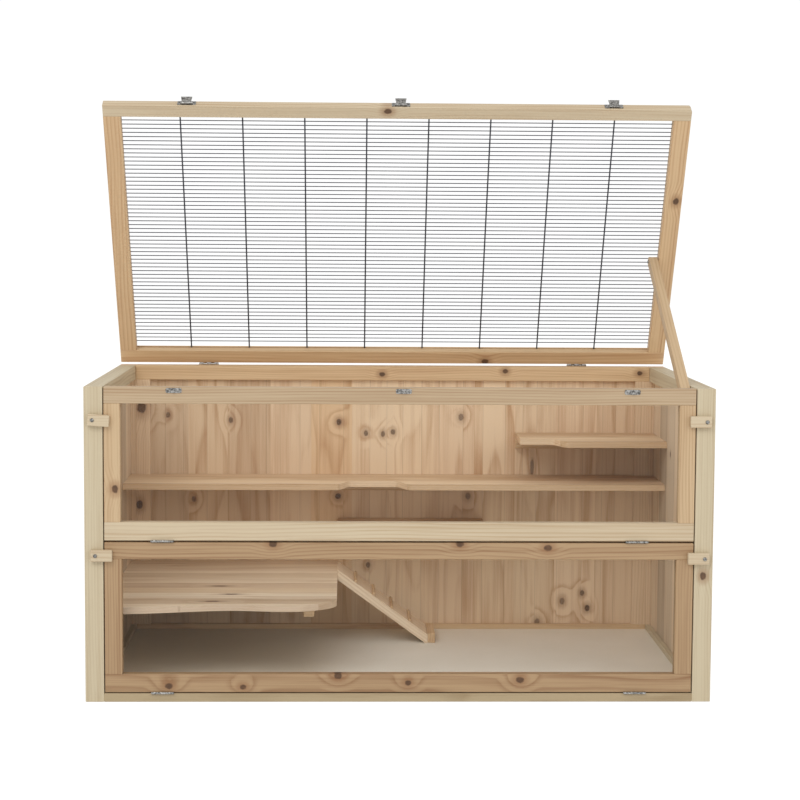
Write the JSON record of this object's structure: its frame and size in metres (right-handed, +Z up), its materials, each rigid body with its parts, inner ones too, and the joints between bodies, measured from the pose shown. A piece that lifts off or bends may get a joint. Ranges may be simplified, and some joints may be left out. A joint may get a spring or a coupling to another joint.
{
  "type": "rodent cage",
  "caption": "Wooden small-animal cage with a propped wire lid, glazed fold-down front doors, board walls, wavy shelves and a ramp.",
  "frame": {"origin": "on the floor, in the middle of the cabinet footprint", "axes": "+X to the right seen from the front, +Y to the back, +Z up"},
  "size_m": [1.15, 0.6312, 1.1216],
  "materials": {
    "frame_wood": "planed pale softwood, unvarnished",
    "board_wood": "planed softwood boards, knotty",
    "shelf_wood": "planed softwood board",
    "floor_coating": "pale smooth coated sheet",
    "clear_pane": "clear",
    "dark_wire": "dark coated wire, satin",
    "plated_steel": "bright zinc plating",
    "screw_steel": "zinc plated screw"
  },
  "bodies": {
    "cabinet": {"front_post_left": "frame_wood", "front_post_right": "frame_wood", "rear_post_left": "frame_wood", "rear_post_right": "frame_wood", "side_top_rail_left": "frame_wood", "side_top_rail_right": "frame_wood", "side_bottom_rail_left": "frame_wood", "side_bottom_rail_right": "frame_wood", "back_top_rail": "frame_wood", "back_bottom_rail": "frame_wood", "back_stiles": "frame_wood", "front_base_rail": "frame_wood", "middle_rail": "frame_wood", "floor_battens": "frame_wood", "side_boards_left": "board_wood", "side_boards_right": "board_wood", "back_boards": "board_wood", "long_shelf": "shelf_wood", "high_shelf": "shelf_wood", "middle_shelf": "shelf_wood", "low_shelf": "shelf_wood", "shelf_battens": "shelf_wood", "ramp_board": "shelf_wood", "ramp_cleats": "shelf_wood", "floor_sheet": "floor_coating", "hinge_fixed_leaves": "plated_steel", "hinge_pins": "plated_steel", "turn_button_screws": "screw_steel"},
    "lid": {"lid_hinge_rail": "frame_wood", "lid_free_rail": "frame_wood", "lid_stile_left": "frame_wood", "lid_stile_right": "frame_wood", "lid_grille": "dark_wire", "lid_hinge_leaves": "plated_steel", "strut_screw": "screw_steel", "latch_plates": "plated_steel", "latch_screws": "screw_steel"},
    "strut": {"strut": "frame_wood"},
    "upper_door": {"upper_door_bottom_rail": "frame_wood", "upper_door_top_rail": "frame_wood", "upper_door_stiles": "frame_wood", "upper_door_pane": "clear_pane", "upper_door_hinge_leaves": "plated_steel", "latch_catches": "plated_steel", "catch_screws": "screw_steel"},
    "lower_door": {"lower_door_bottom_rail": "frame_wood", "lower_door_top_rail": "frame_wood", "lower_door_stiles": "frame_wood", "lower_door_pane": "clear_pane", "lower_door_hinge_leaves": "plated_steel"},
    "button_upper_left": {"turn_button_upper_left": "frame_wood"},
    "button_upper_right": {"turn_button_upper_right": "frame_wood"},
    "button_lower_left": {"turn_button_lower_left": "frame_wood"},
    "button_lower_right": {"turn_button_lower_right": "frame_wood"},
    "latch_left": {"latch_lever_left": "plated_steel"},
    "latch_middle": {"latch_lever_middle": "plated_steel"},
    "latch_right": {"latch_lever_right": "plated_steel"}
  },
  "joints": [
    {"name": "lid_hinge", "type": "hinge", "parent": "cabinet", "child": "lid", "pos_m": [0, 0.3025, 0.581], "axis": [1, 0, 0], "range_deg": [-30, 60]},
    {"name": "strut_pivot", "type": "hinge", "parent": "lid", "child": "strut", "pos_m": [0.53, 0.18095, 0.80354], "axis": [1, 0, 0], "range_deg": [-45, 0]},
    {"name": "upper_door_hinge", "type": "hinge", "parent": "cabinet", "child": "upper_door", "pos_m": [0, -0.3025, 0.298], "axis": [1, 0, 0], "range_deg": [0, 135]},
    {"name": "lower_door_hinge", "type": "hinge", "parent": "cabinet", "child": "lower_door", "pos_m": [0, -0.3025, 0.017], "axis": [1, 0, 0], "range_deg": [0, 90]},
    {"name": "button_upper_left_turn", "type": "hinge", "parent": "cabinet", "child": "button_upper_left", "pos_m": [-0.5585, -0.3053, 0.52], "axis": [0, 1, 0], "continuous": true},
    {"name": "button_upper_right_turn", "type": "hinge", "parent": "cabinet", "child": "button_upper_right", "pos_m": [0.5585, -0.3053, 0.52], "axis": [0, 1, 0], "continuous": true},
    {"name": "button_lower_left_turn", "type": "hinge", "parent": "cabinet", "child": "button_lower_left", "pos_m": [-0.5545, -0.3053, 0.272], "axis": [0, 1, 0], "continuous": true},
    {"name": "button_lower_right_turn", "type": "hinge", "parent": "cabinet", "child": "button_lower_right", "pos_m": [0.5585, -0.3053, 0.268], "axis": [0, 1, 0], "continuous": true},
    {"name": "latch_left_lift", "type": "hinge", "parent": "lid", "child": "latch_left", "pos_m": [-0.412, 0.00494, 1.10919], "axis": [1, 0, 0], "range_deg": [-16, 120]},
    {"name": "latch_middle_lift", "type": "hinge", "parent": "lid", "child": "latch_middle", "pos_m": [0.005, 0.00494, 1.10919], "axis": [1, 0, 0], "range_deg": [-16, 120]},
    {"name": "latch_right_lift", "type": "hinge", "parent": "lid", "child": "latch_right", "pos_m": [0.422, 0.00494, 1.10919], "axis": [1, 0, 0], "range_deg": [-16, 120]}
  ]
}
